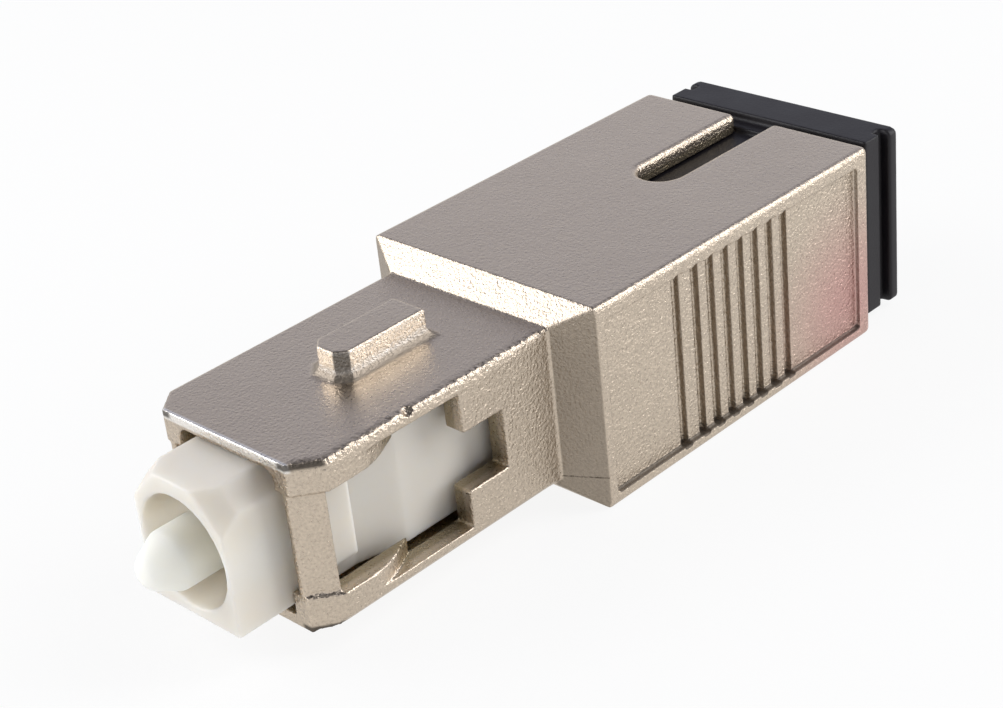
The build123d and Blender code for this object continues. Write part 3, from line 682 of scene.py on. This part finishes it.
mesh = bmesh.new()
row = [mesh.verts.new((p.x, 0, AXIS_Z + p.y)) for p in outline]
edges = [mesh.edges.new(pair) for pair in zip(row, row[1:])]
bmesh.ops.spin(
    mesh, geom=row + edges, cent=(0, 0, AXIS_Z), axis=(1, 0, 0), angle=2 * math.pi, steps=SPIN_STEPS,
    use_merge=True)
bmesh.ops.remove_doubles(mesh, verts=mesh.verts, dist=0.0001 * MM)
bmesh.ops.recalc_face_normals(mesh, faces=mesh.faces)
ferrule_mesh = bpy.data.meshes.new("front_ferrule_ground")
mesh.to_mesh(ferrule_mesh)
mesh.free()
ferrule_mesh.shade_smooth()
ferrule = bpy.data.objects.new("front_ferrule_ground", ferrule_mesh)
bpy.context.collection.objects.link(ferrule)
ferrule.data.materials.append(zirconia)
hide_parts("front_ferrule")
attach(ferrule, "ferrule_unit")
print("ferrule faces:", len(ferrule_mesh.polygons))

# %% [markdown]
# ## The spring
# The spring sits between the flange of the barrel and its seat, and shortens when the ferrules are pushed in.
# Here a copy of the coil gets its own mesh and the drawn wire, and moves with the core.

coil_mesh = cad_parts["ferrule_spring"].data.copy()
coil_mesh.materials.clear()
coil_mesh.materials.append(drawn_wire)
coil = bpy.data.objects.new("ferrule_spring_coil", coil_mesh)
bpy.context.collection.objects.link(coil)
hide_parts("ferrule_spring")
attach(coil, "core")
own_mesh(coil)

# %% [markdown]
# ## The pieces that keep their solids
# These small pieces already have their true shape, so they only get their material.

# %% Materials for the inner pieces
inner_finishes = {
    "rear_ferrule": zirconia,
    "split_sleeve": zirconia,
    "ferrule_barrel": plated_brass,
    "spring_seat": grey_plastic,
    "attenuating_fibre": fibre_glass,
}
for name, finish in inner_finishes.items():
    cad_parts[name].data.materials.clear()
    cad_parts[name].data.materials.append(finish)
    print(name, "is", finish.name)

# %% [markdown]
# ## Floor, sky and lamps
# A small part on a white table under soft light needs little more than a pale floor, a pale sky
# and a few wide lamps. The floor looks plain white to the camera and pale to the metal, and still
# keeps a faint shadow under the part. The metal sees more of that shadow than the camera.

# %% The floor
CAMERA_WHITE = 0.88
METAL_WHITE = 0.66
FLOOR_SIZE = 2.0

bpy.ops.mesh.primitive_plane_add(size=FLOOR_SIZE)
floor = bpy.context.object
floor.name = "floor"
paper, tree = new_material("white_paper_floor")
here = add(tree, "ShaderNodeTexCoord").outputs["Object"]
ray = add(tree, "ShaderNodeLightPath")
by_camera = add(tree, "ShaderNodeMath", {
    0: ray.outputs["Is Camera Ray"], 1: CAMERA_WHITE}, operation="MULTIPLY")
by_metal = add(tree, "ShaderNodeMath", {
    0: ray.outputs["Is Glossy Ray"], 1: ray.outputs["Is Transmission Ray"]}, operation="MAXIMUM")
by_metal = add(tree, "ShaderNodeMath", {0: by_metal.outputs[0], 1: METAL_WHITE}, operation="MULTIPLY")
share = add(tree, "ShaderNodeMath", {0: by_camera.outputs[0], 1: by_metal.outputs[0]}, operation="MAXIMUM")
fibres = add(tree, "ShaderNodeTexNoise", {"Vector": here, "Scale": 1 / (2.0 * MM)})
tint = add(tree, "ShaderNodeMix", {
    "Factor": fibres.outputs["Fac"], "A": linear("#F4F4F2"), "B": linear("#F7F7F5")}, data_type="RGBA")
matt = add(tree, "ShaderNodeBsdfDiffuse", {"Color": tint.outputs["Result"]})
glow = add(tree, "ShaderNodeEmission", {"Color": linear("#FFFFFF"), "Strength": 1.0})
both = add(tree, "ShaderNodeMixShader", {0: share.outputs[0], 1: matt.outputs[0], 2: glow.outputs[0]})
add(tree, "ShaderNodeOutputMaterial", {"Surface": both.outputs[0]})
floor.data.materials.append(paper)
print("floor white for the camera and the metal:", CAMERA_WHITE, METAL_WHITE)

# %% [markdown]
# The sky is a soft white tent that gets dimmer and cooler towards its top. Satin metal needs
# something dark to look at as well, or its edges vanish, so the tent has a wide and soft dark
# opening high on one side.

# %% The sky
TENT_OPENING = Vector((-0.42, -0.52, 0.74)).normalized()
OPENING_EDGE = math.cos(math.radians(40))
OPENING_HEART = math.cos(math.radians(20))
OPENING_GLOW = 0.05
TENT_TONES = ((0.0, "#FFFDF8"), (0.45, "#D3D8ED"), (0.72, "#8A8C9A"), (1.0, "#303036"))

world = bpy.data.worlds.new("studio")
world.use_nodes = True
tree = world.node_tree
tree.nodes.clear()
bpy.context.scene.world = world
where = add(tree, "ShaderNodeTexCoord").outputs["Generated"]
rise = add(tree, "ShaderNodeSeparateXYZ", {0: where}).outputs["Z"]
cloth = add(tree, "ShaderNodeValToRGB", {"Fac": rise})
stops = cloth.color_ramp.elements
while len(stops) < len(TENT_TONES):
    stops.new(0.5)
for stop, (level, colour) in zip(stops, TENT_TONES):
    stop.position = level
    stop.color = linear(colour)
near = add(tree, "ShaderNodeVectorMath", {0: where, 1: TENT_OPENING}, operation="DOT_PRODUCT")
dark = add(tree, "ShaderNodeMapRange", {
    "Value": near.outputs["Value"], "From Min": OPENING_EDGE, "From Max": OPENING_HEART,
    "To Min": 1.0, "To Max": OPENING_GLOW}, interpolation_type="SMOOTHSTEP")
sky = add(tree, "ShaderNodeBackground", {"Color": cloth.outputs["Color"], "Strength": dark.outputs["Result"]})
add(tree, "ShaderNodeOutputWorld", {"Surface": sky.outputs[0]})
print("opening towards", [round(v, 2) for v in TENT_OPENING])

# %% [markdown]
# Each lamp does one job. The key lamp stands in front on the left, where the bevel mirrors it. The
# rim lamp is a tall strip behind on the right, which draws bright lines along the edges. The fill
# lamp looks along the axis into the bore of the plug frame.

# %% The lamps
def soft_lamp(name, direction, distance, width, height, glow_level):
    """A white lamp that faces the part. Its glow level is how bright its face looks."""
    data = bpy.data.lights.new(name, "AREA")
    data.shape = "RECTANGLE"
    data.size = width
    data.size_y = height
    data.energy = glow_level * math.pi * width * height
    lamp = bpy.data.objects.new(name, data)
    bpy.context.collection.objects.link(lamp)
    lamp.location = Vector(direction).normalized() * distance
    lamp.rotation_euler = (-lamp.location).to_track_quat("-Z", "Y").to_euler()
    print(name, "gives", round(data.energy, 3), "W")
    return lamp


soft_lamp("key_lamp", (-0.49, 0.65, 0.55), 200 * MM, 125 * MM, 125 * MM, 4.2)
soft_lamp("rim_lamp", (0.59, -0.56, 0.57), 220 * MM, 90 * MM, 280 * MM, 4.6)
soft_lamp("fill_lamp", (-0.94, 0.05, 0.24), 240 * MM, 110 * MM, 110 * MM, 2.6)
